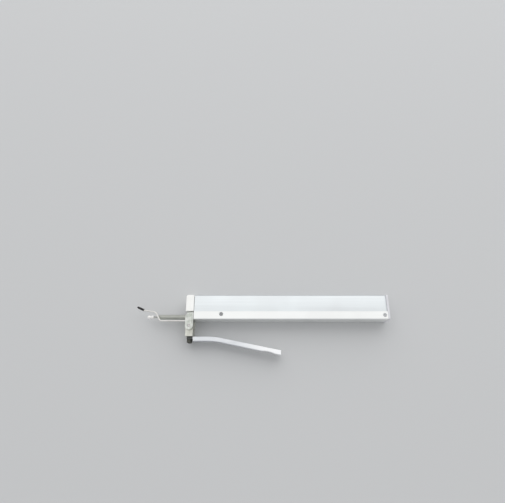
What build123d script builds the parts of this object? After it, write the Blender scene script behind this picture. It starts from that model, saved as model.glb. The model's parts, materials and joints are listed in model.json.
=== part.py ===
from build123d import *
from math import atan2, cos, degrees, radians, sin
import os

# Hand-held yarn tension meter, in millimetres.
# x runs from the yarn guide to the tail, with 0 at the nose's front face.
# y runs away from the trigger, with 0 at the underside of the case.
# z runs through the flat case, with 0 at the side it rests on, which has the reading window.
# The last section moves the origin to the middle of the footprint, on the resting side.

# Case
thickness = 19.0
case_height = 25.8
sheet = 1.2
case_end = 209.5
base_front = 8.5
cover_front = 8.4
band_height = 8.3
cover_lap = 2.0
base_bend = 1.0
cover_bend = 1.5
inner_bend = 0.4

# Fits and clearances
slide_fit = 0.1
press_fit = 0.02
running_fit = 0.05
free_gap = 0.35
screw_play = 0.15
blind_spare = 0.5
small_chamfer = 0.3

# End pieces
head_length = 8.1
head_seam = 1.2
head_drop = 0.2
head_round = 2.2
tail_plate = 2.3
tail_spigot = 8.0
tail_solid = 8.0
tail_wall = 2.2
edge_break = 0.5

# Nose block: a fork in front, a slotted body inside the case
nose_length = 8.2
nose_top = 7.2
nose_chamfer_x = 2.5
nose_chamfer_y = 3.1
cheek = 2.6
fork_ceiling = 0.3
body_rear = 42.0
body_top = 22.6
body_chamfer = 4.0
arm_slot = 6.0
arm_slot_front = 18.0

# Lever: block on the hinge pin, bar and screws
pivot_y = -6.3
pin_d = 3.0
lever_gap = 0.3
lever_length = 7.7
lever_bottom = -16.8
lever_top_r = 6.1
spring_slot = 5.4
spring_slot_floor = -10.2
ear_width = 3.0
ear_top = 1.4
ear_length = 5.6
ear_round = 1.6
squeeze_angle = 15.0
bar_front = 1.8
bar_width = 9.6
bar_thickness = 4.6
bar_edge = 0.6
bar_bend_start = 23.5
bar_bend_r = 70.0
bar_slope = 11.4
bar_taper = 0.2
bar_length = 96.6
bar_foot = 2.7
dip_length = 13.0
dip_depth = 0.8
dip_inset = 13.6
bar_screw_pitch = 4.8
bar_screw_d = 2.5
bar_screw_head_d = 4.6
bar_screw_head = 3.4
bar_screw_depth = 5.0
bar_screw_turns = (25, 70)

# Hook wire and its sleeve
wire_d = 1.6
hook_y = -0.85
hook_bend_x = -26.9
hook_climb = 60.0
hook_top_y = 8.2
hook_end_x = -44.0
hook_end_y = 10.0
tip_run = 8.4
tip_slope = 24.0
low_bend_r = 2.6
high_bend_r = 5.5
tip_bend_r = 3.0
sleeve_d = 2.3
sleeve_end_d = 1.9
sleeve_cover = 0.9
sleeve_start = 0.6
sleeve_taper = 5.8
sleeve_tip = 0.5
sleeve_tip_d = 1.05

# Guide tube, rod and grooved tip
tube_y = 3.7
tube_d = 5.0
tube_bore = 4.0
tube_front = -29.5
tube_rear = 16.0
rod_d = 1.8
guide_front = -41.6
guide_length = 6.7
guide_d = 3.6
groove_d = 2.8
groove_width = 2.6
groove_centre = 3.4
guide_round = 1.4
guide_chamfer = 0.6
guide_socket = 5.0

# Weighing lever
feeler_x = 30.0
feeler_y = 12.0
feeler_angle = 0.754
feeler_pin_d = 2.0
feeler_bush_d = 4.0
feeler_hub_r = 3.3
hub_side_gap = 0.4
bush_side_gap = 0.25
arm_thickness = 1.6
arm_root_r = 2.6
arm_length = 54.0
arm_end_r = 1.8
clamp_front = 20.5
clamp_rear = 29.0
clamp_width = 4.4
clamp_height = 3.8
clamp_edge = 0.8
rod_end_wall = 1.0
down_root_r = 3.0
down_end_r = 2.2
tail_hole_x = 35.2
tail_hole_d = 1.8
tail_end_r = 1.65
drive_pin_d = 1.0
drive_pin_low = 4.3

# Pointer
pointer_ratio = 9.0
pointer_y = 16.5
needle_length = 90.0
needle_low = 4.6
needle_thickness = 0.4
needle_root = 3.0
needle_tip = 0.6
hub_d = 4.4
hub_flange_d = 6.4
hub_flange = 0.8
hub_low = 4.2
hub_high = 7.2
post_d = 4.0
journal_d = 1.5
clip_thickness = 0.4
clip_ring = 0.9
clip_lip = 0.2
slot_play = 0.3
slot_run = 1.0
tail_root_r = 2.6
weight_d = 5.0
weight_height = 2.6
weight_arm = 11.0

# Springs
coil_wire = 0.4
coil_d = 3.6
coil_start = 40.0
coil_end = 66.0
coil_turns = 10
eye_r = 1.5
return_wire = 0.7
return_d = 5.8
return_turns = 4
wire_flats = 6

# Chassis plate and what it carries
plate_thickness = 1.5
plate_front = 24.0
plate_low = 8.6
plate_high = 22.0
lug_front = 72.0
lug_rear = 84.0
lug_low = 1.8
plate_slot_xs = (56.0, 106.0, 128.0)
plate_slot_length = 15.0
plate_slot_width = 6.0
plate_screw_inset = 2.4
nose_screw_xs = (28.0, 38.5)
nose_screw_y = 19.2
bracket_front = 76.0
bracket_rear = 80.0
bracket_top = 7.0
bracket_depth = 8.5
bracket_screw_rise = 0.6
zero_d = 2.5
zero_rear = 86.0
zero_eye_x = 70.2
zero_eye_d = 1.3
zero_slot_depth = 0.8
tongue_front = 1.2
tongue_rear = 3.4
tongue_height = 2.0
tongue_thickness = 1.4
nut_flats = 4.6
nut_height = 2.4
stop_d = 2.0
stop_inset = 6.0
stop_low = 8.0

# Reading scale and window
scale_front = 143.0
scale_rear = 197.0
scale_low = 9.0
scale_high = 23.0
scale_z = 6.2
scale_thickness = 0.8
scale_corner = 1.5
pillar_d = 4.0
pillar_inset = 3.0
pillar_edge = 1.9
window_front = 150.0
window_rear = 192.0
window_low = 10.3
window_high = 22.7
window_corner = 2.0
pane_border = 2.0
pane_low = 8.8
pane_thickness = 1.1

# Screws
case_screw_front = (36.8, 5.35)
case_screw_rear = (case_end - 3.1, 4.4)
case_screw_d = 2.0
case_screw_head = 4.2
case_screw_length = 5.6
case_screw_turns = (35, 20)
small_screw_d = 1.6
small_screw_head = 3.0
small_screw_length = 3.4
chassis_screw_turn = 15
scale_screw_head = 0.8
scale_screw_turn = 40
head_screw_y = 16.9
head_screw_d = 3.0
head_screw_head = 5.6
head_screw_length = 14.0
head_screw_turn = 30
slot_width = 0.6
slot_depth = 0.45
head_chamfer_share = 0.12

# Places worked out from the sizes above
mid = thickness / 2
pivot_x = nose_length / 2
head_low = nose_top + head_seam
head_high = case_height - head_drop
inner_low = 2 * sheet + slide_fit
inner_high = thickness - inner_low
inner_floor = sheet + slide_fit
inner_roof = case_height - sheet - slide_fit
slot_low = mid - arm_slot / 2
slot_high = mid + arm_slot / 2
lever_low = cheek + lever_gap
lever_high = thickness - lever_low
lever_front = pivot_x - lever_length / 2
lever_rear = pivot_x + lever_length / 2
ear_low = lever_high - ear_width
ear_rise = (ear_top - pivot_y - ear_round) * cos(radians(squeeze_angle))
ear_rise += (ear_length / 2 - ear_round) * sin(radians(squeeze_angle)) + ear_round
hook_z = lever_high - ear_width / 2
plate_z = inner_high - plate_thickness
bead_r = coil_wire / 2 + press_fit
stop_x = feeler_x + arm_length - stop_inset
pointer_x = feeler_x + arm_length + arm_length / pointer_ratio
tail_arm = arm_length / pointer_ratio
needle_rest = -feeler_angle * pointer_ratio / 2
drive_x = pointer_x - tail_arm * cos(radians(needle_rest))
drive_y = pointer_y - tail_arm * sin(radians(needle_rest))
arm_slope = degrees(atan2(drive_y - feeler_y, drive_x - feeler_x))
total_end = case_end + tail_plate


# Simple solids between two positions

def block(x0, x1, y0, y1, z0, z1):
    centre = Pos((x0 + x1) / 2, (y0 + y1) / 2, (z0 + z1) / 2)
    return centre * Box(x1 - x0, y1 - y0, z1 - z0)


def round_z(x, y, z0, z1, diameter):
    return Pos(x, y, (z0 + z1) / 2) * Cylinder(diameter / 2, z1 - z0)


def round_x(x0, x1, y, z, diameter):
    return Pos((x0 + x1) / 2, y, z) * Rot(0, 90, 0) * Cylinder(diameter / 2, x1 - x0)


def round_y(x, y0, y1, z, diameter):
    return Pos(x, (y0 + y1) / 2, z) * Rot(90, 0, 0) * Cylinder(diameter / 2, y1 - y0)


def raised(sketch, z0, z1):
    return extrude(Pos(0, 0, z0) * sketch, z1 - z0)


def along_x(section, x0, x1):
    # the section's first axis is y and its second is z
    return extrude(Plane.YZ.offset(x0) * section, x1 - x0)


def oblong(x0, x1, y0, y1, corner):
    centre = Pos((x0 + x1) / 2, (y0 + y1) / 2)
    return centre * RectangleRounded(x1 - x0, y1 - y0, corner)


def link(x0, y0, r0, x1, y1, r1):
    # outline of a belt round two circles
    ends = Pos(x0, y0) * Circle(r0) + Pos(x1, y1) * Circle(r1)
    return make_hull(ends.edges())


def coiled(path, wire):
    # a helical wire with flats along its turns
    return sweep(Plane(path @ 0, z_dir=path % 0) * RegularPolygon(wire / 2, wire_flats), path)


def screw_form(diameter, head_d, length, growth=0.0):
    # countersunk screw along +z with its head's face at 0; growth turns it into its hole
    r = diameter / 2 + growth
    top = head_d / 2 + growth
    outline = Polyline((0, 0), (top, 0), (r, top - r), (r, length), (0, length), close=True)
    return revolve(Plane.XZ * make_face(outline), Axis.Z)


def slotted(screw, head_d):
    return screw - block(-head_d, head_d, -slot_width / 2, slot_width / 2, -1, slot_depth)


def cheese_screw(diameter, head_d, head, length):
    # the head lies below 0 and the shank runs along +z
    form = round_z(0, 0, -head, 0, head_d) + round_z(0, 0, 0, length, diameter)
    form = chamfer(form.edges().group_by(Axis.Z)[0], head * head_chamfer_share)
    return form - block(-head_d, head_d, -slot_width / 2, slot_width / 2, -head - 1, slot_depth - head)


# Screw places: each is a location whose +z points the way the screw runs

def case_screw_places():
    places = []
    for x, y in (case_screw_front, case_screw_rear):
        places.append(Pos(x, y, 0) * Rot(0, 0, case_screw_turns[0]))
        places.append(Pos(x, y, thickness) * Rot(180, 0, case_screw_turns[1]))
    return places


def chassis_screw_places():
    tail_x = case_end - tail_spigot / 2
    spots = [(x, nose_screw_y) for x in nose_screw_xs]
    spots.append((tail_x, plate_low + plate_screw_inset))
    spots.append((tail_x, plate_high - plate_screw_inset))
    spots.append(((bracket_front + bracket_rear) / 2, tube_y + bracket_screw_rise))
    return [Pos(x, y, inner_high) * Rot(180, 0, chassis_screw_turn) for x, y in spots]


def scale_corners():
    xs = (scale_front + pillar_inset, scale_rear - pillar_inset)
    ys = (scale_low + pillar_edge, scale_high - pillar_edge)
    return [(x, y) for x in xs for y in ys]


def holes(places, diameter, head_d, length):
    return [p * screw_form(diameter, head_d, length, press_fit) for p in places]


def blind_holes():
    case_depth = case_screw_length + blind_spare
    chassis_depth = small_screw_length + blind_spare
    cuts = holes(case_screw_places(), case_screw_d, case_screw_head, case_depth)
    return cuts + holes(chassis_screw_places(), small_screw_d, small_screw_head, chassis_depth)


def stop_places():
    # above and below the weighing arm, clear of it over its whole travel
    along = (stop_x - feeler_x) / cos(radians(arm_slope))
    arm_y = feeler_y + (stop_x - feeler_x) * sin(radians(arm_slope)) / cos(radians(arm_slope))
    share = along / arm_length
    half = arm_root_r * (1 - share) + arm_end_r * share
    travel = along * sin(radians(feeler_angle))
    reach = half + free_gap + stop_d / 2
    return [(stop_x, arm_y + reach), (stop_x, arm_y - reach - travel)]


# Case shells and end pieces

def base_channel():
    outer = Pos(band_height / 2, mid) * Rectangle(band_height, thickness)
    outer = fillet(outer.vertices().group_by(Axis.X)[0], base_bend)
    inner = Pos(sheet + band_height / 2, mid) * Rectangle(band_height, thickness - 2 * sheet)
    inner = fillet(inner.vertices().group_by(Axis.X)[0], inner_bend)
    shell = along_x(outer - inner, base_front, case_end)
    shell -= holes(case_screw_places(), case_screw_d + 2 * screw_play, case_screw_head, 2 * sheet)
    return shell


def top_cover():
    tall = case_height - cover_lap
    outer = Pos(cover_lap + tall / 2, mid) * Rectangle(tall, thickness - 2 * sheet)
    outer = fillet(outer.vertices().group_by(Axis.X)[-1], cover_bend)
    inner = Pos(cover_lap + tall / 2 - sheet, mid) * Rectangle(tall, thickness - 4 * sheet)
    inner = fillet(inner.vertices().group_by(Axis.X)[-1], inner_bend)
    shell = along_x(outer - inner, cover_front, case_end)
    opening = oblong(window_front, window_rear, window_low, window_high, window_corner)
    shell -= raised(opening, 0, 3 * sheet)
    for x, y in (case_screw_front, case_screw_rear):
        shell -= round_z(x, y, 0, thickness, case_screw_d + 2 * screw_play)
    return shell


def head_block():
    form = block(0, head_length, head_low, head_high, 0, thickness)
    front_top = form.edges().filter_by(Axis.Z).sort_by(lambda e: e.center().Y - e.center().X)[-1]
    form = fillet(front_top, head_round)
    rear = form.faces().sort_by(Axis.X)[-1].edges()
    rest = [edge for edge in form.edges().filter_by(GeomType.LINE) if edge not in rear]
    form = fillet(rest, edge_break)
    hole = screw_form(head_screw_d, head_screw_head, head_length + 1, slide_fit)
    return form - Pos(0, head_screw_y, mid) * Rot(0, 90, 0) * hole


def tail_cap():
    plate = block(case_end, total_end, 0, case_height, 0, thickness)
    plate = fillet(plate.edges().filter_by(Axis.X), base_bend)
    plate = fillet(plate.faces().sort_by(Axis.X)[-1].edges(), edge_break)
    front = case_end - tail_spigot
    spigot = block(front, case_end, inner_floor, inner_roof, inner_low, inner_high)
    spigot = fillet(spigot.edges().filter_by(Axis.X), inner_bend)
    pocket = block(front - 1, case_end - tail_wall, tail_solid, inner_roof - tail_wall,
                   inner_low + tail_wall, plate_z - tail_wall)
    spigot -= pocket
    spigot -= block(front - 1, case_end, plate_low - slide_fit, plate_high + slide_fit,
                    plate_z, thickness)
    form = plate + spigot
    return form - blind_holes()


# Nose block and tube

def nose_block():
    side = Polyline((0, pivot_y), (0, nose_top - nose_chamfer_y), (nose_chamfer_x, nose_top),
                    (nose_length, nose_top), (nose_length, pivot_y), close=True)
    outline = make_face(side) + Pos(pivot_x, pivot_y) * Circle(nose_length / 2)
    fork = raised(outline, 0, thickness)
    fork -= block(-1, nose_length + 1, -thickness, fork_ceiling, cheek, thickness - cheek)
    pocket_top = pivot_y + ear_rise + free_gap
    fork -= block(-1, nose_length + 1, 0, pocket_top, ear_low - lever_gap, thickness - cheek)
    body = block(nose_length, body_rear, inner_floor, nose_top, inner_low, inner_high)
    body += block(head_length, body_rear, inner_floor, body_top, inner_low, inner_high)
    body = chamfer(body.faces().sort_by(Axis.Y)[-1].edges().sort_by(Axis.X)[-1], body_chamfer)
    body -= block(arm_slot_front, body_rear + 1, 0, case_height, slot_low, slot_high)
    body -= block(plate_front - slide_fit, body_rear + 1, plate_low - slide_fit, case_height,
                  plate_z, thickness)
    form = fork + body
    form -= round_x(-1, tube_rear, tube_y, mid, tube_d + 2 * press_fit)
    form -= round_x(0, arm_slot_front + 1, tube_y, mid, tube_bore)
    form -= round_z(pivot_x, pivot_y, -1, thickness + 1, pin_d + 2 * press_fit)
    form -= round_z(feeler_x, feeler_y, 0, thickness, feeler_pin_d + 2 * press_fit)
    form -= round_x(0, head_screw_length + blind_spare, head_screw_y, mid,
                    head_screw_d + 2 * press_fit)
    return form - blind_holes()


def guide_tube():
    form = round_x(tube_front, tube_rear, tube_y, mid, tube_d)
    form = chamfer(form.edges().group_by(Axis.X)[0], small_chamfer)
    return form - round_x(tube_front - 1, tube_rear + 1, tube_y, mid, tube_bore)


def hinge_pin():
    form = round_z(pivot_x, pivot_y, slide_fit, thickness - slide_fit, pin_d)
    return chamfer(form.edges(), small_chamfer)


def return_spring():
    # torsion coil round the hinge pin; one leg bears on the fork, the other on the lever
    mean_r = (return_d - return_wire) / 2
    height = spring_slot - 2 * slide_fit - return_wire
    start_z = mid - height / 2
    path = Helix(height / return_turns, height, mean_r, center=(pivot_x, pivot_y, start_z))
    coil = coiled(path, return_wire)
    leg_x = pivot_x + mean_r
    up = round_y(leg_x, pivot_y, fork_ceiling - press_fit, start_z, return_wire)
    down = round_y(leg_x, spring_slot_floor + press_fit, pivot_y, start_z + height, return_wire)
    return coil + up + down


# Trigger lever

def lever_block():
    strip = Pos(pivot_x, lever_bottom / 2) * Rectangle(lever_length, -lever_bottom)
    crown = Pos(pivot_x, pivot_y) * Circle(lever_top_r)
    leg = Pos(pivot_x, (lever_bottom + pivot_y) / 2) * Rectangle(lever_length, pivot_y - lever_bottom)
    form = raised(leg + (crown & strip), lever_low, lever_high)
    form -= block(lever_front - 1, lever_rear + 1, spring_slot_floor, 1,
                  mid - spring_slot / 2, mid + spring_slot / 2)
    ear_height = ear_top - pivot_y
    ear = Pos(pivot_x, pivot_y + ear_height / 2) * Rectangle(ear_length, ear_height)
    ear = fillet(ear.vertices().group_by(Axis.Y)[-1], ear_round)
    form += raised(ear, ear_low, lever_high)
    form -= round_z(pivot_x, pivot_y, 0, thickness, pin_d + 2 * running_fit)
    form -= round_x(lever_front - 1, lever_rear, hook_y, hook_z, wire_d + 2 * press_fit)
    for z in (mid - bar_screw_pitch / 2, mid + bar_screw_pitch / 2):
        form -= round_y(pivot_x, lever_bottom - 1, lever_bottom + bar_screw_depth + blind_spare, z,
                        bar_screw_d + 2 * press_fit)
    return chamfer(form.faces().sort_by(Axis.Y)[0].outer_wire().edges(), small_chamfer)


def bar_line(level, bend_r, slope):
    # flat run under the lever, a long bend and a straight run to the free end
    flat = Line((bar_front, level), (bar_bend_start, level))
    bend = JernArc(flat @ 1, flat % 1, bend_r, -slope)
    run = (bar_front + bar_length - (bend @ 1).X) / cos(radians(slope))
    return flat + bend + PolarLine(bend @ 1, run, -slope)


def finger_dip(lower):
    # circle that hollows the underside near the free end
    along = lower % 1
    dip_r = (dip_length ** 2 / 4 + dip_depth ** 2) / (2 * dip_depth)
    centre = lower @ 1 - along * dip_inset + Vector(along.Y, -along.X) * (dip_r - dip_depth)
    return Pos(centre.X, centre.Y) * Circle(dip_r)


def trigger_bar():
    top = lever_bottom - press_fit
    upper = bar_line(top, bar_bend_r, bar_slope)
    lower = bar_line(top - bar_thickness, bar_bend_r - bar_thickness, bar_slope + bar_taper)
    ends = [Line(upper @ 0, lower @ 0), Line(upper @ 1, lower @ 1)]
    outline = make_face(upper.edges() + lower.edges() + ShapeList(ends)) - finger_dip(lower)
    form = raised(outline, mid - bar_width / 2, mid + bar_width / 2)
    form = fillet(form.edges().filter_by(lambda e: abs(e.tangent_at(0.5).Z) < 0.5), bar_edge)
    form -= block(0, lever_rear + free_gap, top - bar_thickness - 1, top - bar_foot, 0, thickness)
    for z in (mid - bar_screw_pitch / 2, mid + bar_screw_pitch / 2):
        form -= round_y(pivot_x, top - bar_thickness, top + 1, z, bar_screw_d + 2 * screw_play)
    return form


def trigger_screws():
    seat = lever_bottom - press_fit - bar_foot - press_fit
    turn = Rot(-90, 0, 0)
    screws = []
    for side, angle in zip((-0.5, 0.5), bar_screw_turns):
        z = mid + side * bar_screw_pitch
        screw = cheese_screw(bar_screw_d, bar_screw_head_d, bar_screw_head,
                             bar_foot + bar_screw_depth)
        screws.append(Pos(pivot_x, seat, z) * turn * Rot(0, 0, angle) * screw)
    return Compound(screws)


def hook_points():
    climb = radians(hook_climb)
    corner_x = hook_bend_x - (hook_top_y - hook_y) * cos(climb) / sin(climb)
    slope = radians(tip_slope)
    tip_x = hook_end_x - tip_run * cos(slope)
    tip_y = hook_end_y + tip_run * sin(slope)
    return [(pivot_x + ear_length / 2, hook_y), (hook_bend_x, hook_y), (corner_x, hook_top_y),
            (hook_end_x, hook_end_y), (tip_x, tip_y)]


def hook_wire():
    points = [Vector(x, y, hook_z) for x, y in hook_points()]
    points[-1] = points[-1] + (points[-2] - points[-1]).normalized() * sleeve_cover
    path = FilletPolyline(*points, radius=[low_bend_r, high_bend_r, tip_bend_r])
    return sweep(Plane(path @ 0, z_dir=path % 0) * Circle(wire_d / 2), path)


def hook_tip():
    # sleeve on the last straight run of the wire, tapering to a rounded end
    (x0, y0), (x1, y1) = hook_points()[-2:]
    half = sleeve_d / 2
    end = sleeve_end_d / 2
    bore = wire_d / 2 + press_fit
    bore_depth = tip_run - sleeve_cover + press_fit
    profile = Polyline((bore, sleeve_start), (half, sleeve_start), (half, sleeve_taper),
                       (end, tip_run - sleeve_tip), (sleeve_tip_d / 2, tip_run), (0, tip_run),
                       (0, bore_depth), (bore, bore_depth), close=True)
    form = revolve(Plane.XZ * make_face(profile), Axis.Z)
    towards = Vector(x1 - x0, y1 - y0, 0)
    return Plane((x0, y0, hook_z), z_dir=towards).location * form


# Rod, grooved tip and weighing lever

def feeler_rod():
    front = guide_front + guide_length - guide_socket + press_fit
    return round_x(front, clamp_rear - rod_end_wall, tube_y, mid, rod_d)


def yarn_guide():
    r = guide_d / 2
    rear = guide_front + guide_length
    centre = guide_front + groove_centre
    first = centre - groove_width / 2
    last = centre + groove_width / 2
    outline = [
        Polyline((rear, 0), (guide_front, 0), (guide_front, r - guide_round)),
        RadiusArc((guide_front, r - guide_round), (guide_front + guide_round, r), guide_round),
        Line((guide_front + guide_round, r), (first, r)),
        ThreePointArc((first, r), (centre, groove_d / 2), (last, r)),
        Polyline((last, r), (rear - guide_chamfer, r), (rear, r - guide_chamfer), (rear, 0)),
    ]
    tip = Pos(0, tube_y, mid) * revolve(make_face(outline), Axis.X)
    return tip - round_x(rear - guide_socket, rear + 1, tube_y, mid, rod_d + 2 * press_fit)


def feeler_lever():
    down_x = clamp_rear - down_end_r
    arm = link(feeler_x, feeler_y, arm_root_r, drive_x, drive_y, arm_end_r)
    down = link(feeler_x, feeler_y, down_root_r, down_x, tube_y, down_end_r)
    tail = link(down_x, tube_y, tail_end_r, tail_hole_x, tube_y, tail_end_r)
    hub = Pos(feeler_x, feeler_y) * Circle(feeler_hub_r)
    low = mid - arm_thickness / 2
    high = mid + arm_thickness / 2
    form = raised(arm + down + tail + hub, low, high)
    form += raised(hub, slot_low + hub_side_gap, slot_high - hub_side_gap)
    clamp = block(clamp_front, clamp_rear, tube_y - clamp_height / 2, tube_y + clamp_height / 2,
                  mid - clamp_width / 2, mid + clamp_width / 2)
    form += fillet(clamp.edges().filter_by(Axis.X), clamp_edge)
    form -= round_x(clamp_front - 1, clamp_rear - rod_end_wall + press_fit, tube_y, mid,
                    rod_d + 2 * press_fit)
    form -= round_z(feeler_x, feeler_y, 0, thickness, feeler_bush_d + 2 * press_fit)
    form -= round_z(tail_hole_x, tube_y, 0, thickness, tail_hole_d)
    return form - round_z(drive_x, drive_y, 0, thickness, drive_pin_d + 2 * press_fit)


def feeler_bush():
    bush = round_z(feeler_x, feeler_y, slot_low + bush_side_gap, slot_high - bush_side_gap,
                   feeler_bush_d)
    return bush - round_z(feeler_x, feeler_y, 0, thickness, feeler_pin_d + 2 * running_fit)


def feeler_pin():
    return round_z(feeler_x, feeler_y, inner_low + slide_fit, plate_z - slide_fit, feeler_pin_d)


def drive_pin():
    return round_z(drive_x, drive_y, drive_pin_low, mid + arm_thickness / 2, drive_pin_d)


# Pointer group, drawn level and then turned to its rest place

def turned(shape):
    centre = Pos(pointer_x, pointer_y, 0)
    return centre * Rot(0, 0, needle_rest) * centre.inverse() * shape


def pointer_hub():
    form = round_z(pointer_x, pointer_y, hub_low, hub_high, hub_d)
    seat = needle_low + needle_thickness
    form += round_z(pointer_x, pointer_y, seat, seat + hub_flange, hub_flange_d)
    return form - round_z(pointer_x, pointer_y, 0, thickness, journal_d + 2 * running_fit)


def pointer_needle():
    blade = Polyline((pointer_x, pointer_y - needle_root / 2),
                     (pointer_x + needle_length, pointer_y - needle_tip / 2),
                     (pointer_x + needle_length, pointer_y + needle_tip / 2),
                     (pointer_x, pointer_y + needle_root / 2), close=True)
    tail = link(pointer_x, pointer_y, tail_root_r, pointer_x - weight_arm, pointer_y, weight_d / 2)
    ring = Pos(pointer_x, pointer_y) * Circle(hub_flange_d / 2)
    eye = drive_pin_d / 2 + slot_play
    slot_x = pointer_x - tail_arm
    slot = link(slot_x - slot_run / 2, pointer_y, eye, slot_x + slot_run / 2, pointer_y, eye)
    hole = Pos(pointer_x, pointer_y) * Circle(hub_d / 2 + press_fit)
    flat = make_face(blade) + tail + ring - slot - hole
    return turned(raised(flat, needle_low, needle_low + needle_thickness))


def counterweight():
    seat = needle_low + needle_thickness
    return turned(round_z(pointer_x - weight_arm, pointer_y, seat, seat + weight_height, weight_d))


def pointer_post():
    shoulder = hub_high + 2 * slide_fit
    form = round_z(pointer_x, pointer_y, shoulder, plate_z, post_d)
    end = hub_low - slide_fit - clip_thickness - clip_lip
    return form + round_z(pointer_x, pointer_y, end, shoulder, journal_d)


def pointer_clip():
    high = hub_low - slide_fit
    clip = round_z(pointer_x, pointer_y, high - clip_thickness, high, journal_d + 2 * clip_ring)
    return clip - round_z(pointer_x, pointer_y, 0, thickness, journal_d + 2 * press_fit)


# Weighing spring, its anchor and the zero adjustment

def coil_eye(x, facing):
    # end loop in the xz plane; its far side passes through the hole at x
    centre = x + facing * eye_r
    ring = Pos(centre, tube_y, mid) * Rot(90, 0, 0) * Torus(eye_r, coil_wire / 2)
    coil_x = coil_start if facing > 0 else coil_end
    near, far = sorted((centre + facing * eye_r, coil_x))
    shank = round_x(near, far, tube_y, mid, coil_wire)
    mean_r = (coil_d - coil_wire) / 2
    radial = round_z(coil_x, tube_y, mid, mid + mean_r, coil_wire)
    joint = Pos(coil_x, tube_y, mid) * Sphere(bead_r)
    return ring + shank + radial + joint


def measuring_spring():
    mean_r = (coil_d - coil_wire) / 2
    run = coil_end - coil_start
    path = Helix(run / coil_turns, run, mean_r)
    coil = coiled(path, coil_wire)
    coil = Pos(coil_start, tube_y, mid) * Rot(0, 90, 0) * Rot(0, 0, 180) * coil
    caps = [Pos(x, tube_y, mid + mean_r) * Sphere(bead_r) for x in (coil_start, coil_end)]
    return coil + caps + coil_eye(tail_hole_x, 1) + coil_eye(zero_eye_x, -1)


def spring_bracket():
    form = block(bracket_front, bracket_rear, sheet + slide_fit, bracket_top,
                 plate_z - bracket_depth, plate_z)
    form -= round_x(0, case_end, tube_y, mid, zero_d + 2 * press_fit)
    return form - blind_holes()


def zero_screw():
    form = round_x(zero_eye_x + tongue_rear, zero_rear, tube_y, mid, zero_d)
    form += block(zero_eye_x - tongue_front, zero_eye_x + tongue_rear, tube_y - tongue_height / 2,
                  tube_y + tongue_height / 2, mid - tongue_thickness / 2, mid + tongue_thickness / 2)
    form -= round_z(zero_eye_x, tube_y, 0, thickness, zero_eye_d)
    return form - block(zero_rear - zero_slot_depth, zero_rear + 1, tube_y - slot_width / 2,
                        tube_y + slot_width / 2, 0, thickness)


def zero_nut():
    corner_r = nut_flats / 2 / cos(radians(30))
    low = bracket_rear + press_fit
    form = along_x(Pos(tube_y, mid) * RegularPolygon(corner_r, 6, rotation=30), low, low + nut_height)
    return form - round_x(low - 1, low + nut_height + 1, tube_y, mid, zero_d + 2 * press_fit)


# Chassis plate, scale and window

def chassis_plate():
    rear = case_end - slide_fit
    outline = Pos((plate_front + rear) / 2, (plate_low + plate_high) / 2) * Rectangle(
        rear - plate_front, plate_high - plate_low)
    outline += Pos((lug_front + lug_rear) / 2, (lug_low + plate_high) / 2) * Rectangle(
        lug_rear - lug_front, plate_high - lug_low)
    for x in plate_slot_xs:
        slot = SlotOverall(plate_slot_length, plate_slot_width)
        outline -= Pos(x, (plate_low + plate_high) / 2) * slot
    form = raised(outline, plate_z, inner_high)
    form -= round_z(pointer_x, pointer_y, 0, thickness, journal_d)
    return form - holes(chassis_screw_places(), small_screw_d + 2 * screw_play, small_screw_head,
                        small_screw_length)


def arm_stops():
    pins = [round_z(x, y, stop_low, plate_z, stop_d) for x, y in stop_places()]
    return Compound(pins)


def scale_plate():
    form = raised(oblong(scale_front, scale_rear, scale_low, scale_high, scale_corner), scale_z,
                  scale_z + scale_thickness)
    for x, y in scale_corners():
        form -= round_z(x, y, 0, thickness, small_screw_d + 2 * screw_play)
    return form


def scale_pillars():
    pillars = []
    for x, y in scale_corners():
        pillar = round_z(x, y, scale_z + scale_thickness, plate_z, pillar_d)
        depth = small_screw_length + blind_spare
        pillars.append(pillar - round_z(x, y, 0, scale_z + depth, small_screw_d + 2 * press_fit))
    return Compound(pillars)


def scale_screws():
    screws = []
    for count, (x, y) in enumerate(scale_corners()):
        screw = cheese_screw(small_screw_d, small_screw_head, scale_screw_head, small_screw_length)
        turn = Rot(0, 0, scale_screw_turn * count)
        screws.append(Pos(x, y, scale_z - press_fit) * turn * screw)
    return Compound(screws)


def scale_window():
    inside = 2 * sheet + press_fit
    pane = raised(oblong(window_front - pane_border, window_rear + pane_border,
                         pane_low, inner_roof - inner_bend, scale_corner),
                  inside, inside + pane_thickness)
    step = oblong(window_front + slide_fit, window_rear - slide_fit, window_low + slide_fit,
                  window_high - slide_fit, window_corner - slide_fit)
    return pane + raised(step, sheet, inside + pane_thickness / 2)


# Fasteners of the case

def case_screws():
    screw = slotted(screw_form(case_screw_d, case_screw_head, case_screw_length), case_screw_head)
    return Compound([p * Pos(0, 0, press_fit) * screw for p in case_screw_places()])


def chassis_screws():
    screw = slotted(screw_form(small_screw_d, small_screw_head, small_screw_length), small_screw_head)
    return Compound([p * Pos(0, 0, press_fit) * screw for p in chassis_screw_places()])


def head_screw():
    screw = slotted(screw_form(head_screw_d, head_screw_head, head_screw_length), head_screw_head)
    seat = Pos(press_fit, head_screw_y, mid) * Rot(0, 90, 0)
    return seat * Rot(0, 0, head_screw_turn) * screw


makers = [base_channel, top_cover, head_block, tail_cap, nose_block, guide_tube, hinge_pin,
          return_spring, lever_block, trigger_bar, trigger_screws, hook_wire, hook_tip,
          feeler_rod, yarn_guide, feeler_lever, feeler_bush, feeler_pin, drive_pin, pointer_hub,
          pointer_needle, counterweight, pointer_post, pointer_clip, measuring_spring,
          spring_bracket, zero_screw, zero_nut, chassis_plate, arm_stops, scale_plate,
          scale_pillars, scale_screws, scale_window, case_screws, chassis_screws, head_screw]
pieces = {maker.__name__: maker() for maker in makers}

# Origin: middle of the footprint, on the resting side
box = Compound(list(pieces.values())).bounding_box()
to_origin = Pos(-box.center().X, -box.center().Y, -box.min.Z)

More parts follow.
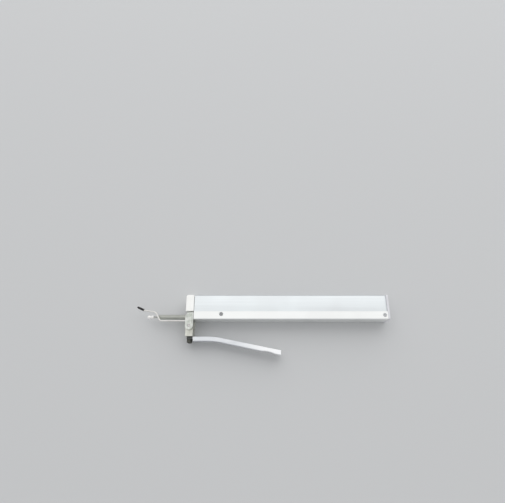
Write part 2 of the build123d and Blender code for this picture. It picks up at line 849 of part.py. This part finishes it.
os.makedirs("parts", exist_ok=True)
for name, shape in pieces.items():
    export_step(to_origin * shape, f"parts/{name}.step")

size = box.size
print(f"overall {size.X:.2f} x {size.Y:.2f} x {size.Z:.2f}")
shift = to_origin.position
print(f"shift {shift.X:.4f} {shift.Y:.4f} {shift.Z:.4f}")
pivots = {"trigger": (pivot_x, pivot_y), "feeler": (feeler_x, feeler_y), "pointer": (pointer_x, pointer_y)}
for name, (x, y) in pivots.items():
    print(f"{name} pivot {x + shift.X:.4f} {y + shift.Y:.4f}")
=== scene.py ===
import json
import math

import bpy
from mathutils import Matrix, Vector


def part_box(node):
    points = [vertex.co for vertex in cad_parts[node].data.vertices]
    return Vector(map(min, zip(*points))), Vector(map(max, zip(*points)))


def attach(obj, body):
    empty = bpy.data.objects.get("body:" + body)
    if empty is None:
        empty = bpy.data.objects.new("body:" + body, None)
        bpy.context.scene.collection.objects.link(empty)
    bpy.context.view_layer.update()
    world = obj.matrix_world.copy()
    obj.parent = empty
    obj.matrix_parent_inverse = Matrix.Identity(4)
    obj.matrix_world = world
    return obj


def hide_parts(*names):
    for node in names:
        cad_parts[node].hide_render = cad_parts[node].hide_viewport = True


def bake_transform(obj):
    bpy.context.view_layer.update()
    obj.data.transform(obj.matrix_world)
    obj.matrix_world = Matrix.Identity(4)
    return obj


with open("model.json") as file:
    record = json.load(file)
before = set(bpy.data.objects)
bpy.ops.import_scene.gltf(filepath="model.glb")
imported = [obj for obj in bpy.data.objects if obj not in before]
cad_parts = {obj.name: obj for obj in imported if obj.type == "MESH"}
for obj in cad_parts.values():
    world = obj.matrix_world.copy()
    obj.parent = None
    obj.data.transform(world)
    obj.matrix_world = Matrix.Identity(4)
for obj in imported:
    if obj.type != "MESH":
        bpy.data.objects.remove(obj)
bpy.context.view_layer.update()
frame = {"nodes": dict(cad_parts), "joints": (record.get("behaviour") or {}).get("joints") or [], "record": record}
nodes = frame["nodes"]
mm = 0.001


def shown(red, green, blue):
    # a colour as the screen shows it, 0 to 255, turned into Blender's linear values
    levels = [level / 255 for level in (red, green, blue)]
    linear = [level / 12.92 if level <= 0.04045 else ((level + 0.055) / 1.055) ** 2.4 for level in levels]
    return (*linear, 1.0)


def perMetre(sizes):
    # how many spots of these sizes in millimetres fit in a metre
    return [1000 / size for size in sizes]


def middle(name, axis):
    # the middle of a node along x (0), y (1) or z (2)
    low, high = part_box(name)
    return (low[axis] + high[axis]) / 2


class Wire:
    # an output socket that can be used in plain expressions
    def __init__(self, maker, socket):
        self.maker = maker
        self.socket = socket

    def maths(self, operation, *values):
        sockets = dict(enumerate(values))
        return self.maker.node("ShaderNodeMath", {"operation": operation}, sockets)

    def __add__(self, other):
        return self.maths("ADD", self, other)

    def __radd__(self, other):
        return self.maths("ADD", other, self)

    def __sub__(self, other):
        return self.maths("SUBTRACT", self, other)

    def __rsub__(self, other):
        return self.maths("SUBTRACT", other, self)

    def __mul__(self, other):
        return self.maths("MULTIPLY", self, other)

    def __rmul__(self, other):
        return self.maths("MULTIPLY", other, self)

    def __truediv__(self, other):
        return self.maths("DIVIDE", self, other)

    def power(self, exponent):
        return self.maths("POWER", self, exponent)

    def greater(self, other):
        return self.maths("MAXIMUM", self, other)

    def between(self, low, high):
        # 0 below low, 1 above high, and even in between
        ends = {0: self, 1: low, 2: high, 3: 0.0, 4: 1.0}
        return self.maker.node("ShaderNodeMapRange", {"clamp": True}, ends)


class NodeMaker:
    # adds nodes to one shader tree
    def __init__(self, tree):
        self.tree = tree

    def node(self, kind, settings=None, sockets=None, output=0):
        made = self.tree.nodes.new(kind)
        for key, value in (settings or {}).items():
            setattr(made, key, value)
        for key, value in (sockets or {}).items():
            self.plug(made.inputs[key], value)
        return Wire(self, made.outputs[output])

    def plug(self, socket, value):
        if isinstance(value, Wire):
            self.tree.links.new(value.socket, socket)
        else:
            socket.default_value = value

    def mixed(self, factor, first, second, blend="MIX"):
        sockets = {0: factor, 6: first, 7: second}
        return self.node("ShaderNodeMix", {"data_type": "RGBA", "blend_type": blend}, sockets, 2)


# what all the finishes share: turned is how much of a turn an edge needs to show wear,
# and smudged is where the smudges' noise goes from clean to full
wearing = {"turned": (0.01, 0.2), "smudged": (0.35, 0.7), "edgeSamples": 6}


class Finish(NodeMaker):
    # one material, built from a Principled shader
    def __init__(self, name, colour, metal, rough, **constants):
        self.material = bpy.data.materials.new(name)
        self.material.use_nodes = True
        super().__init__(self.material.node_tree)
        self.shader = self.tree.nodes["Principled BSDF"]
        self.set("Base Color", colour)
        self.set("Metallic", metal)
        self.set("Roughness", rough)
        for socket, value in constants.items():
            self.set(socket.replace("_", " "), value)

    def set(self, name, value):
        self.plug(self.shader.inputs[name], value)

    def here(self):
        # the point's own place in the frame, in metres
        return self.node("ShaderNodeTexCoord", output="Object")

    def along(self, axis):
        return self.node("ShaderNodeSeparateXYZ", None, {0: self.here()}, axis)

    def noise(self, cells, detail=2.0, roughness=0.5):
        place = self.node("ShaderNodeVectorMath", {"operation": "MULTIPLY"}, {0: self.here(), 1: cells})
        sockets = {"Vector": place, "Scale": 1.0, "Detail": detail, "Roughness": roughness}
        return self.node("ShaderNodeTexNoise", None, sockets)

    def rounded(self, radius):
        return self.node("ShaderNodeBevel", {"samples": wearing["edgeSamples"]}, {"Radius": radius})

    def edges(self, radius):
        # 1 where the surface turns within the radius, 0 on flats
        flat = self.node("ShaderNodeNewGeometry", output="Normal")
        pair = {0: self.rounded(radius), 1: flat}
        sameWay = self.node("ShaderNodeVectorMath", {"operation": "DOT_PRODUCT"}, pair, "Value")
        return (1 - sameWay).between(*wearing["turned"])

    def relief(self, height, radius):
        # height in metres, over edges rounded by the radius
        sockets = {"Height": height, "Distance": 1.0, "Strength": 1.0, "Normal": self.rounded(radius)}
        self.set("Normal", self.node("ShaderNodeBump", None, sockets))

    def crown(self, centre, rise):
        # gentle bow across y, falling by rise metres a centimetre from the centre
        return ((self.along("Y") - centre) / (10 * mm)).power(2.0) * -rise


metalSurface = {  # broad is how many broad streaks there are for each fine one; darkenedFade is in millimetres
    "fineDetail": 3.0, "fineRough": 0.6, "broad": 0.15, "broadDetail": 1.0, "streaked": (0.3, 0.75),
    "smudgeRough": 0.06, "wornRough": 0.08, "darkenedFade": 0.3, "darkenedLeast": 0.8, "darkenedRough": 0.2,
    "paintedHighlightRough": 0.12,
}
plasticSurface = {"pitRough": 0.1, "smudgeRough": 0.08}


def metalFinish(name, look):
    # grain gives the length of the tool lines along x, y and z, in millimetres
    surface = metalSurface
    finish = Finish(name, look["colour"], look.get("metal", 1.0), look["rough"])
    cells = perMetre(look["grain"])
    fine = finish.noise(cells, surface["fineDetail"], surface["fineRough"])
    broad = finish.noise([cell * surface["broad"] for cell in cells], surface["broadDetail"])
    smudge = finish.noise(perMetre([look["smudge"]] * 3))
    wear = finish.edges(look["edge"] * mm)
    body = finish.mixed(smudge.between(*wearing["smudged"]), look["colour"], look["cast"])
    tone = 1 - look["streak"] * (fine * 0.5 + broad * 0.5).between(*surface["streaked"])
    streaked = finish.mixed(1.0, body, tone, "MULTIPLY")
    colour = finish.mixed(wear * look["wear"], streaked, look["bare"])
    rough = look["rough"] + fine * look["spread"]
    rough = rough + smudge * surface["smudgeRough"] - wear * surface["wornRough"]
    if "darkenedEnd" in look:  # darker from the hooks' end up to this x: painted shade under the lever block on the trigger bar, a darker front pair on the case screws
        fade = surface["darkenedFade"] * mm
        darkened = 1 - finish.along("X").between(look["darkenedEnd"] - fade, look["darkenedEnd"] + fade)
        strength = surface["darkenedLeast"] + fine * (1 - surface["darkenedLeast"])
        colour = finish.mixed(darkened * strength, colour, look["darkenedColour"])
        rough = rough + darkened * surface["darkenedRough"]
    if "paintedHighlight" in look:  # painted highlight: lighter and smoother, more and more from the first x to the second
        paintedHighlight = finish.along("X").between(*look["paintedHighlight"])
        colour = finish.mixed(paintedHighlight, colour, look["bare"])
        rough = rough - paintedHighlight * surface["paintedHighlightRough"]
    height = fine * (look["depth"] * mm)
    if "bow" in look:
        height = height + finish.crown(look["bowMiddle"], look["bow"] * mm)
    finish.set("Base Color", colour)
    finish.set("Roughness", rough)
    finish.relief(height, look["edge"] * mm)
    return finish.material


def plasticFinish(name, look):
    surface = plasticSurface
    finish = Finish(name, look["colour"], 0.0, look["rough"], Coat_Weight=look.get("coat", 0.0))
    pits = finish.noise(perMetre([look["pit"]] * 3))
    smudge = finish.noise(perMetre([look["smudge"]] * 3))
    wear = finish.edges(look["edge"] * mm)
    body = finish.mixed(smudge.between(*wearing["smudged"]), look["colour"], look["cast"])
    finish.set("Base Color", finish.mixed(wear * look["wear"], body, look["bare"]))
    finish.set("Roughness", look["rough"] + pits * surface["pitRough"] + smudge * surface["smudgeRough"])
    finish.relief(pits * (look["depth"] * mm), look["edge"] * mm)
    return finish.material


def paneFinish(name, look):
    finish = Finish(name, look["colour"], 0.0, look["rough"], IOR=look["bending"])
    scuffs = finish.noise(perMetre(look["scuff"]), look["scuffDetail"]).between(*look["scuffAt"])
    finish.set("Roughness", look["rough"] + scuffs * look["scuffed"])
    finish.set("Alpha", look["haze"] + scuffs * look["scuffed"])
    return finish.material


# in the looks, cast is the colour in smudges and bare the one on worn edges; sizes are in
# millimetres, and places along x or y in metres, as in the frame
caseCover = {
    "colour": shown(241, 246, 248), "cast": shown(234, 238, 240), "bare": shown(252, 253, 253),
    "rough": 0.3, "spread": 0.16, "grain": (60, 0.35, 0.35), "smudge": 45, "streak": 0.10,
    "depth": 0.004, "edge": 0.35, "wear": 0.5, "bow": 0.6, "bowMiddle": middle("top_cover", 1),
}
caseBase = {
    "colour": shown(253, 254, 253), "cast": shown(249, 250, 249), "bare": shown(254, 254, 254),
    "rough": 0.36, "spread": 0.12, "grain": (40, 0.5, 0.5), "smudge": 30, "streak": 0.05,
    "depth": 0.003, "edge": 0.35, "wear": 0.4,
}
noseMetal = {
    "colour": shown(246, 248, 243), "cast": shown(210, 215, 206), "bare": shown(252, 252, 250),
    "rough": 0.34, "spread": 0.2, "grain": (0.6, 9, 0.6), "smudge": 3.5, "streak": 0.36,
    "depth": 0.006, "edge": 0.3, "wear": 0.6,
}
leverMetal = {
    "colour": shown(230, 230, 222), "cast": shown(217, 217, 207), "bare": shown(242, 242, 236),
    "rough": 0.36, "spread": 0.16, "grain": (0.6, 9, 0.6), "smudge": 5, "streak": 0.24,
    "depth": 0.006, "edge": 0.3, "wear": 0.6,
}
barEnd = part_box("trigger_bar")[1].x
barMetal = {
    "colour": shown(242, 244, 247), "cast": shown(231, 234, 238), "bare": shown(252, 253, 254),
    "rough": 0.32, "spread": 0.2, "grain": (30, 0.4, 0.4), "smudge": 18, "streak": 0.18,
    "depth": 0.006, "edge": 0.4, "wear": 0.7,
    # painted shade: the bar's front end under the lever block is coloured dark olive grey
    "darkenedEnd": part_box("lever_block")[1].x, "darkenedColour": shown(52, 52, 46),
    # painted highlight, growing towards the bar's free end
    "paintedHighlight": (barEnd - 50 * mm, barEnd - 15 * mm),
}
tubeMetal = {
    "colour": shown(202, 203, 197), "cast": shown(188, 190, 183), "bare": shown(226, 226, 221),
    "rough": 0.5, "spread": 0.14, "grain": (14, 0.3, 0.3), "smudge": 12, "streak": 0.14,
    "depth": 0.003, "edge": 0.15, "wear": 0.4,
}
rodMetal = dict(tubeMetal, colour=shown(200, 200, 198))
wireMetal = {
    "colour": shown(236, 234, 231), "cast": shown(225, 223, 219), "bare": shown(246, 246, 244),
    "rough": 0.26, "spread": 0.12, "grain": (8, 1.2, 1.2), "smudge": 6, "streak": 0.06,
    "depth": 0.001, "edge": 0.1, "wear": 0.3, "metal": 0.85,
}
pinMetal = {
    "colour": shown(214, 211, 210), "cast": shown(200, 196, 195), "bare": shown(232, 231, 230),
    "rough": 0.3, "spread": 0.15, "grain": (1, 1, 4), "smudge": 3, "streak": 0.12,
    "depth": 0.002, "edge": 0.15, "wear": 0.5,
}
springMetal = {
    "colour": shown(150, 151, 154), "cast": shown(122, 122, 126), "bare": shown(190, 190, 192),
    "rough": 0.28, "spread": 0.14, "grain": (1, 1, 1), "smudge": 4, "streak": 0.16,
    "depth": 0.002, "edge": 0.08, "wear": 0.3,
}
screwMetal = {
    "colour": shown(176, 177, 178), "cast": shown(150, 150, 151), "bare": shown(215, 215, 215),
    "rough": 0.3, "spread": 0.14, "grain": (0.4, 0.4, 0.4), "smudge": 2, "streak": 0.15,
    "depth": 0.002, "edge": 0.12, "wear": 0.7,
}
# dark olive-grey screw heads under the lever block
darkScrew = {
    "colour": shown(98, 98, 92), "cast": shown(74, 74, 68), "bare": shown(140, 140, 134),
    "rough": 0.45, "spread": 0.14, "grain": (0.4, 0.4, 0.4), "smudge": 2, "streak": 0.2,
    "depth": 0.003, "edge": 0.14, "wear": 0.6, "metal": 0.8,
}
caseScrew = {  # the front pair is darker than the rear one
    "colour": shown(212, 213, 215), "cast": shown(192, 194, 196), "bare": shown(236, 236, 237),
    "rough": 0.34, "spread": 0.14, "grain": (0.4, 0.4, 0.4), "smudge": 2, "streak": 0.2,
    "depth": 0.003, "edge": 0.14, "wear": 0.8,
    "darkenedEnd": middle("case_screws", 0), "darkenedColour": shown(166, 167, 168),
}
chassisMetal = {
    "colour": shown(196, 198, 200), "cast": shown(182, 185, 188), "bare": shown(225, 226, 228),
    "rough": 0.4, "spread": 0.14, "grain": (20, 0.6, 0.6), "smudge": 20, "streak": 0.12,
    "depth": 0.004, "edge": 0.2, "wear": 0.5,
}
brass = {
    "colour": shown(214, 184, 122), "cast": shown(196, 160, 96), "bare": shown(236, 212, 156),
    "rough": 0.25, "spread": 0.14, "grain": (0.5, 0.5, 0.5), "smudge": 3, "streak": 0.12,
    "depth": 0.002, "edge": 0.12, "wear": 0.6,
}
ivoryPlastic = {
    "colour": shown(250, 250, 248), "cast": shown(246, 246, 243), "bare": shown(253, 253, 252),
    "rough": 0.36, "pit": 0.35, "smudge": 8, "depth": 0.008, "edge": 0.4, "wear": 0.4, "coat": 0.15,
}
greyPlastic = {
    "colour": shown(222, 222, 226), "cast": shown(214, 214, 218), "bare": shown(238, 238, 240),
    "rough": 0.42, "pit": 0.35, "smudge": 8, "depth": 0.01, "edge": 0.4, "wear": 0.4,
}
blackSleeve = {
    "colour": shown(20, 20, 21), "cast": shown(28, 27, 27), "bare": shown(48, 47, 46),
    "rough": 0.46, "pit": 0.3, "smudge": 2, "depth": 0.01, "edge": 0.2, "wear": 0.4,
}
paleCeramic = {
    "colour": shown(250, 249, 247), "cast": shown(246, 243, 240), "bare": shown(253, 252, 251),
    "rough": 0.12, "pit": 0.4, "smudge": 2, "depth": 0.002, "edge": 0.15, "wear": 0.3, "coat": 0.5,
}
scaleEnamel = {
    "colour": shown(244, 243, 236), "cast": shown(238, 236, 228), "bare": shown(250, 250, 246),
    "rough": 0.5, "pit": 0.25, "smudge": 12, "depth": 0.003, "edge": 0.15, "wear": 0.2,
}
needlePaint = {
    "colour": shown(196, 44, 30), "cast": shown(180, 36, 26), "bare": shown(214, 84, 60),
    "rough": 0.45, "pit": 0.3, "smudge": 6, "depth": 0.003, "edge": 0.1, "wear": 0.3,
}
scaleInk = {
    "colour": shown(28, 28, 30), "cast": shown(36, 36, 38), "bare": shown(44, 44, 46),
    "rough": 0.55, "pit": 0.3, "smudge": 4, "depth": 0.001, "edge": 0.02, "wear": 0.1,
}
clearPane = {  # haze is how much of the pane itself shows, and scuffs add to it
    "colour": shown(206, 214, 218), "rough": 0.03, "bending": 1.49, "haze": 0.14,
    "scuff": (2.5, 16, 16), "scuffDetail": 3.0, "scuffAt": (0.5, 0.9), "scuffed": 0.12,
}

print("finishes")
finishes = {
    "case_base": metalFinish("satin case base", caseBase),
    "case_cover": metalFinish("brushed case cover", caseCover),
    "ivory_end": plasticFinish("ivory end block", ivoryPlastic),
    "grey_end": plasticFinish("grey tail cap", greyPlastic),
    "machined_nose": metalFinish("machined nose", noseMetal),
    "machined_lever": metalFinish("machined lever", leverMetal),
    "tube_steel": metalFinish("drawn tube", tubeMetal),
    "rod_steel": metalFinish("ground rod", rodMetal),
    "pin_steel": metalFinish("ground pins", pinMetal),
    "spring_steel": metalFinish("spring wire", springMetal),
    "screw_steel": metalFinish("turned screws", screwMetal),
    "dark_screws": metalFinish("dark olive screws", darkScrew),
    "chassis_metal": metalFinish("milled chassis", chassisMetal),
    "bar_metal": metalFinish("brushed trigger bar", barMetal),
    "polished_wire": metalFinish("polished wire", wireMetal),
    "black_sleeve": plasticFinish("black sleeve", blackSleeve),
    "pale_ceramic": plasticFinish("pale ceramic", paleCeramic),
    "brass_parts": metalFinish("turned brass", brass),
    "scale_white": plasticFinish("scale enamel", scaleEnamel),
    "needle_paint": plasticFinish("needle paint", needlePaint),
    "clear_pane": paneFinish("clear pane", clearPane),
}
caseScrewMaterial = metalFinish("plated case screws", caseScrew)
scaleInkMaterial = plasticFinish("scale ink", scaleInk)
for part in frame["record"]["subparts"]:
    piece = nodes[part["node"]]
    onCase = part["node"] == "case_screws"
    piece.data.materials.clear()
    piece.data.materials.append(caseScrewMaterial if onCase else finishes[part["material_slot"]])


def addObject(name, data):
    piece = bpy.data.objects.new(name, data)
    bpy.context.scene.collection.objects.link(piece)
    return piece


def meshOf(curve):
    # the mesh that a curve or text object shows
    holder = addObject("holder", curve)
    bpy.context.view_layer.update()
    mesh = bpy.data.meshes.new_from_object(holder.evaluated_get(bpy.context.evaluated_depsgraph_get()))
    bpy.data.objects.remove(holder)
    return mesh


def jointCalled(name):
    return next(joint for joint in frame["joints"] if joint["name"] == name)


print("return spring")
returnSpring = {"wire": 0.7, "turns": 4, "turnSteps": 32, "roundness": 4}  # wire in millimetres


def springPath(low, high):
    # up from the lever's slot, round the hinge pin and on up to the fork
    half = returnSpring["wire"] * mm / 2
    pivot = Vector(jointCalled("trigger_squeeze")["pos_m"])
    radius = (high.x - low.x) / 2 - half
    first = low.z + half
    rise = high.z - half - first
    steps = returnSpring["turns"] * returnSpring["turnSteps"]
    path = [(pivot.x + radius, low.y, first)]
    for step in range(steps + 1):
        angle = math.tau * step / returnSpring["turnSteps"]
        path.append((pivot.x + radius * math.cos(angle), pivot.y + radius * math.sin(angle),
                     first + rise * step / steps))
    path.append((pivot.x + radius, high.y, first + rise))
    return path


def makeReturnSpring():
    # a round-wire coil in place of the hidden return spring part; in the instrument its lower leg turns with the
    # lever and its upper one stays with the fork, but the coil is attached to neither
    path = springPath(*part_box("return_spring"))
    curve = bpy.data.curves.new("return_coil", "CURVE")
    curve.dimensions = "3D"
    curve.bevel_depth = returnSpring["wire"] * mm / 2
    curve.bevel_resolution = returnSpring["roundness"]
    curve.use_fill_caps = True
    line = curve.splines.new("POLY")
    line.points.add(len(path) - 1)
    for point, spot in zip(line.points, path):
        point.co = (*spot, 1.0)
    coil = addObject("return_coil", meshOf(curve))
    coil.data.materials.append(finishes["spring_steel"])
    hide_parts("return_spring")
    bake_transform(coil)


makeReturnSpring()

print("scale")
scaleMarks = {  # in millimetres; numberSpread under 1 keeps 0 and 100 clear of the window's frame
    "steps": 20, "longEvery": 2, "numberEvery": 4, "numberValue": 5,
    "arcGap": 1.2, "shortTick": 1.3, "longTick": 2.3, "tickWidth": 0.18, "inkHeight": 0.02,
    "numberGap": 1.4, "numberSize": 1.6, "numberSpread": 0.87,
}


def pointerSweep():
    # where the needle turns, how far out it ends, and the angles that it sweeps
    joint = jointCalled("pointer_sweep")
    low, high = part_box("pointer_needle")
    pivot = Vector(joint["pos_m"])
    reach = high.x - pivot.x
    start = math.atan2(low.y - pivot.y, reach)
    return pivot, reach, start, math.radians(joint["range_deg"][1])


def inked(name, mesh):
    piece = addObject(name, mesh)
    piece.data.materials.append(scaleInkMaterial)
    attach(piece, "housing")


def tickMesh(pivot, radius, start, sweep, height):
    # flat bars that point at the pointer's pivot, printed on the side that faces the window
    corners = []
    faces = []
    sides = [(0, 1, 2, 3), (7, 6, 5, 4), (0, 4, 5, 1), (1, 5, 6, 2), (2, 6, 7, 3), (3, 7, 4, 0)]
    half = scaleMarks["tickWidth"] * mm / 2
    for step in range(scaleMarks["steps"] + 1):
        angle = start + sweep * step / scaleMarks["steps"]
        kind = "longTick" if step % scaleMarks["longEvery"] == 0 else "shortTick"
        outward = Vector((math.cos(angle), math.sin(angle), 0))
        across = Vector((-outward.y, outward.x, 0))
        inner = pivot + outward * radius
        outer = inner + outward * scaleMarks[kind] * mm
        first = len(corners)
        for level in (height, height - scaleMarks["inkHeight"] * mm):
            for end, shift in ((inner, -half), (outer, -half), (outer, half), (inner, half)):
                spot = end + across * shift
                corners.append((spot.x, spot.y, level))
        faces += [[first + corner for corner in side] for side in sides]
    mesh = bpy.data.meshes.new("scale_ticks")
    mesh.from_pydata(corners, [], faces)
    return mesh


def numberMesh(text, pivot, radius, angle, height):
    # turned over, because the window faces down
    curve = bpy.data.curves.new("number " + text, "FONT")
    curve.body = text
    curve.size = scaleMarks["numberSize"] * mm
    curve.extrude = scaleMarks["inkHeight"] * mm / 2
    curve.align_x = "LEFT"
    curve.align_y = "CENTER"
    mesh = meshOf(curve)
    turn = Matrix.Rotation(angle, 4, "Z") @ Matrix.Rotation(math.pi, 4, "X")
    spot = pivot + Vector((math.cos(angle), math.sin(angle), 0)) * radius
    mesh.transform(Matrix.Translation((spot.x, spot.y, height)) @ turn)
    return mesh


def makeScale():
    pivot, reach, start, sweep = pointerSweep()
    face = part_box("scale_plate")[0].z
    tickRadius = reach + scaleMarks["arcGap"] * mm
    inked("scale_ticks", tickMesh(pivot, tickRadius, start, sweep, face))
    numberRadius = tickRadius + (scaleMarks["longTick"] + scaleMarks["numberGap"]) * mm
    for step in range(0, scaleMarks["steps"] + 1, scaleMarks["numberEvery"]):
        text = str(step * scaleMarks["numberValue"])
        share = 0.5 + (step / scaleMarks["steps"] - 0.5) * scaleMarks["numberSpread"]
        inked("scale_number_" + text, numberMesh(text, pivot, numberRadius, start + sweep * share, face))


makeScale()

print("floor, light and camera")
floor = {"size": 6.0, "colour": shown(200, 201, 202), "rough": 0.75, "shine": 0.2}  # size in metres
keyLight = {"place": (0.2, 1.5, 1.35), "width": 3.4, "depth": 2.5, "watts": 24.0}  # metres too
room = {  # near and far are the sky's sides, low and high its colours at the horizon and overhead
    "fill": 0.99, "seen": 1.18, "seenBy": ("Camera", "Glossy", "Transmission"),
    "nearToFar": (-0.3, 0.4), "lowToHigh": (0.0, 0.75),
    "nearLow": shown(176, 177, 178), "farLow": shown(202, 203, 204),
    "nearHigh": shown(205, 206, 207), "farHigh": shown(255, 255, 255),
}
photoView = {  # aim is in millimetres along x and y from the nose block's lowest corner
    "lens": 26.7, "sensor": 36.0, "tilt": 20.0, "aim": (69.3, 84.6),
    "distance": 0.411, "nearest": 0.01, "farthest": 20.0,  # metres
}


def makeFloor():
    half = floor["size"] / 2
    corners = [(-half, -half, 0), (half, -half, 0), (half, half, 0), (-half, half, 0)]
    mesh = bpy.data.meshes.new("floor")
    mesh.from_pydata(corners, [], [(0, 1, 2, 3)])
    finish = Finish("pale floor", floor["colour"], 0.0, floor["rough"], Specular_IOR_Level=floor["shine"])
    mesh.materials.append(finish.material)
    addObject("floor", mesh)


def makeKeyLight():
    data = bpy.data.lights.new("key light", "AREA")
    data.shape = "RECTANGLE"
    data.size = keyLight["width"]
    data.size_y = keyLight["depth"]
    data.energy = keyLight["watts"]
    lamp = addObject("key light", data)
    lamp.location = keyLight["place"]
    lamp.visible_glossy = False  # the sky is what shows in metal and glass
    lamp.rotation_euler = (-lamp.location).to_track_quat("-Z", "Y").to_euler()


def makeWorld():
    world = bpy.data.worlds.new("soft room")
    world.use_nodes = True
    bpy.context.scene.world = world
    sky = NodeMaker(world.node_tree)
    rays = [sky.node("ShaderNodeLightPath", output=f"Is {kind} Ray") for kind in room["seenBy"]]
    direct = rays[0].greater(rays[1]).greater(rays[2])
    direction = sky.node("ShaderNodeTexCoord", output="Generated")
    across = sky.node("ShaderNodeSeparateXYZ", None, {0: direction}, "Y")
    height = sky.node("ShaderNodeSeparateXYZ", None, {0: direction}, "Z")
    far = across.between(*room["nearToFar"])
    low = sky.mixed(far, room["nearLow"], room["farLow"])
    high = sky.mixed(far, room["nearHigh"], room["farHigh"])
    background = world.node_tree.nodes["Background"].inputs
    sky.plug(background["Color"], sky.mixed(height.between(*room["lowToHigh"]), low, high))
    sky.plug(background["Strength"], room["fill"] + direct * (room["seen"] - room["fill"]))


def makeCamera():
    data = bpy.data.cameras.new("camera")
    data.lens = photoView["lens"]
    data.sensor_width = photoView["sensor"]
    data.clip_start = photoView["nearest"]
    data.clip_end = photoView["farthest"]
    camera = addObject("camera", data)
    tilt = math.radians(photoView["tilt"])
    low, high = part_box("nose_block")
    aim = Vector((low.x + photoView["aim"][0] * mm, low.y + photoView["aim"][1] * mm, high.z))
    back = Vector((0, -math.sin(tilt), math.cos(tilt)))
    camera.location = aim + back * photoView["distance"]
    camera.rotation_euler = (tilt, 0, 0)
    bpy.context.scene.camera = camera


makeFloor()
makeKeyLight()
makeWorld()
makeCamera()
bpy.context.scene.view_settings.view_transform = "Standard"

print("done")
